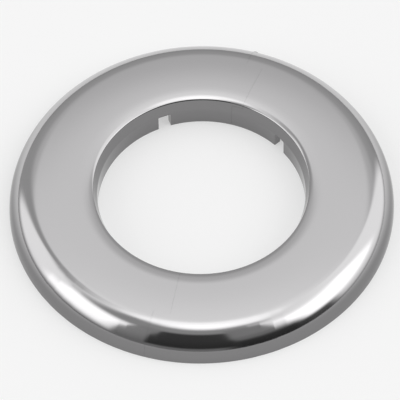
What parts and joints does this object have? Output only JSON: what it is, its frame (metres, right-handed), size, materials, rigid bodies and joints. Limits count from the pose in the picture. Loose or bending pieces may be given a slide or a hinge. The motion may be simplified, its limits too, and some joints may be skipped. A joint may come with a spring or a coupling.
{
  "type": "split pipe rosette",
  "caption": "Domed chromed ring in two hinged halves that snap round a pipe and cover the hole where it leaves a wall.",
  "frame": {"origin": "centre of the pipe bore, in the plane of the wall that the rosette covers", "axes": "+Z along the pipe, away from the wall; +Y towards the hinge, -Y towards the snap; +X towards the half that swings"},
  "size_m": [0.09, 0.09, 0.0079],
  "materials": {
    "chrome_plate": "bright chrome plating on moulded ABS"
  },
  "bodies": {
    "left": {"left_half": "chrome_plate"},
    "right": {"right_half": "chrome_plate"}
  },
  "joints": [
    {"name": "hinge", "type": "hinge", "parent": "left", "child": "right", "pos_m": [0, 0.0435, 0], "axis": [0, 0, 1], "range_deg": [0, 75]}
  ]
}
